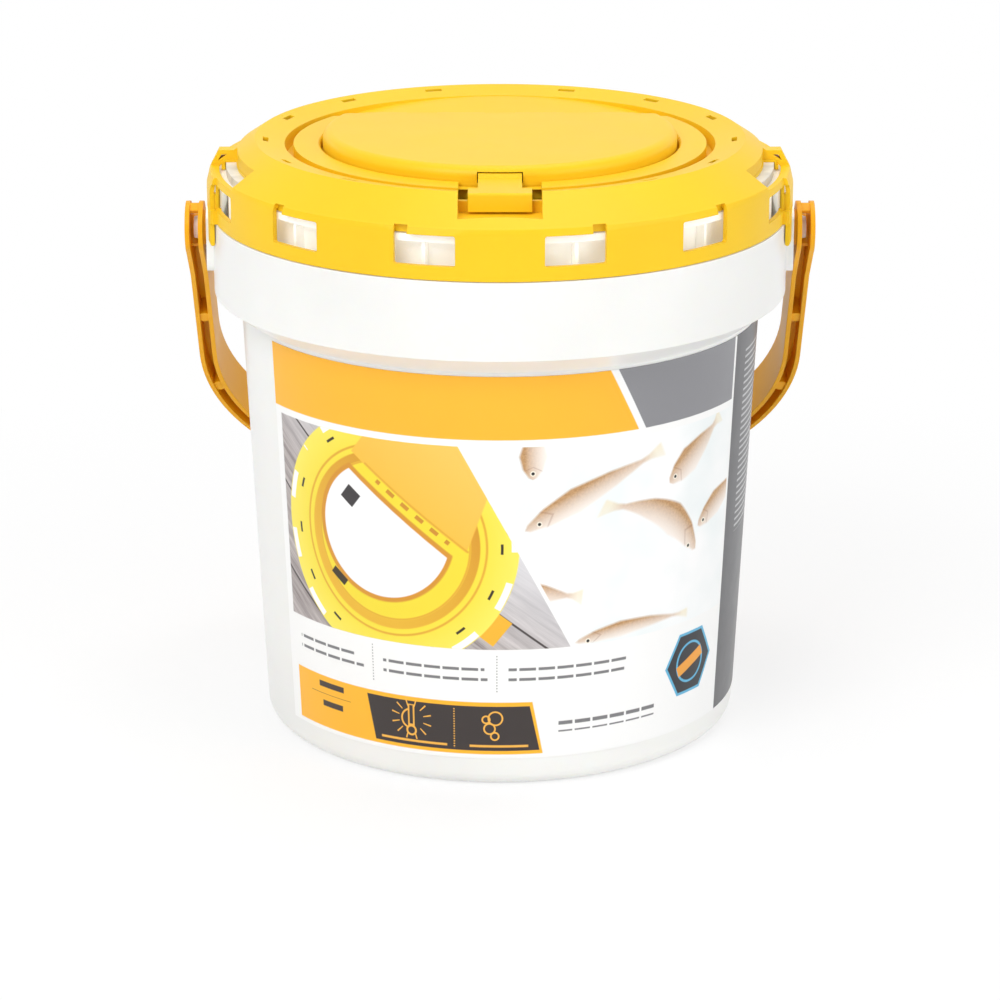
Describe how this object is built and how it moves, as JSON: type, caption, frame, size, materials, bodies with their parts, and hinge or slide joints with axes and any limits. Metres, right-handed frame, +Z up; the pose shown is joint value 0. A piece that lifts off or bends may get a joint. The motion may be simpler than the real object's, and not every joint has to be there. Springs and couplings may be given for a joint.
{
  "type": "aerated bait bucket",
  "caption": "Insulated round pail with a clip-down slotted lid, a hinged access door over a battery air pump in a D-shaped pit, and a bail handle on side pivots.",
  "frame": {"origin": "centre of the pail's foot ring, on the ground", "axes": "+Z up; -Y towards the latch at the front; X along the handle's pivots"},
  "size_m": [0.2858, 0.2666, 0.2765],
  "materials": {
    "pail_plastic": "moulded white polypropylene, satin gloss",
    "foam": "moulded bead foam",
    "label_film": "printed wrap film in amber, dark grey and white",
    "lid_plastic": "moulded amber polypropylene, satin gloss",
    "handle_plastic": "moulded amber polypropylene, satin gloss",
    "gasket_rubber": "soft moulded rubber",
    "aerator_plastic": "moulded white plastic, satin",
    "pump_plastic": "moulded natural plastic",
    "switch_plastic": "moulded black plastic, fine grain",
    "cell_case": "plain sleeved steel can",
    "contact_metal": "nickel plated spring steel",
    "motor_can": "drawn steel can",
    "steel_pin": "plain steel"
  },
  "bodies": {
    "bucket": {"bucket_shell": "pail_plastic", "foam_liner": "foam", "wrap_label": "label_film"},
    "lid": {"lid_ring": "lid_plastic", "lid_gasket": "gasket_rubber", "hinge_pin": "steel_pin", "aerator_base": "aerator_plastic", "aerator_seal": "gasket_rubber", "aerator_cover": "aerator_plastic", "cover_screws": "steel_pin", "switch_well": "switch_plastic", "batteries": "cell_case", "battery_contacts": "contact_metal", "motor": "motor_can", "motor_cradle": "aerator_plastic", "pump_chamber": "pump_plastic", "pump_diaphragm": "gasket_rubber", "pump_ring": "pump_plastic", "pump_link": "pump_plastic", "outlet_nozzle": "aerator_plastic"},
    "door": {"access_door": "lid_plastic"},
    "latch": {"latch_tongue": "lid_plastic"},
    "handle": {"carry_handle": "handle_plastic"},
    "switch": {"switch_button": "switch_plastic"},
    "rotor": {"crank": "steel_pin"}
  },
  "joints": [
    {"name": "handle_swing", "type": "hinge", "parent": "bucket", "child": "handle", "pos_m": [0, 0, 0.23], "axis": [1, 0, 0], "range_deg": [0, 280]},
    {"name": "lid_lift", "type": "slide", "parent": "bucket", "child": "lid", "axis": [0, 0, 1], "range_m": [0, 0.065]},
    {"name": "door_swing", "type": "hinge", "parent": "lid", "child": "door", "pos_m": [0, 0.0326, 0.2726], "axis": [-1, 0, 0], "range_deg": [0, 105]},
    {"name": "latch_flex", "type": "hinge", "parent": "door", "child": "latch", "pos_m": [0, -0.0784, 0.27185], "axis": [-1, 0, 0], "range_deg": [0, 8], "stiffness_Nm_per_rad": 0.05},
    {"name": "switch_press", "type": "slide", "parent": "lid", "child": "switch", "axis": [0, 0, -1], "range_m": [0, 0.001], "stiffness_N_per_m": 400},
    {"name": "rotor_spin", "type": "hinge", "parent": "lid", "child": "rotor", "pos_m": [0, -0.042, 0.2406], "axis": [1, 0, 0], "continuous": true}
  ]
}
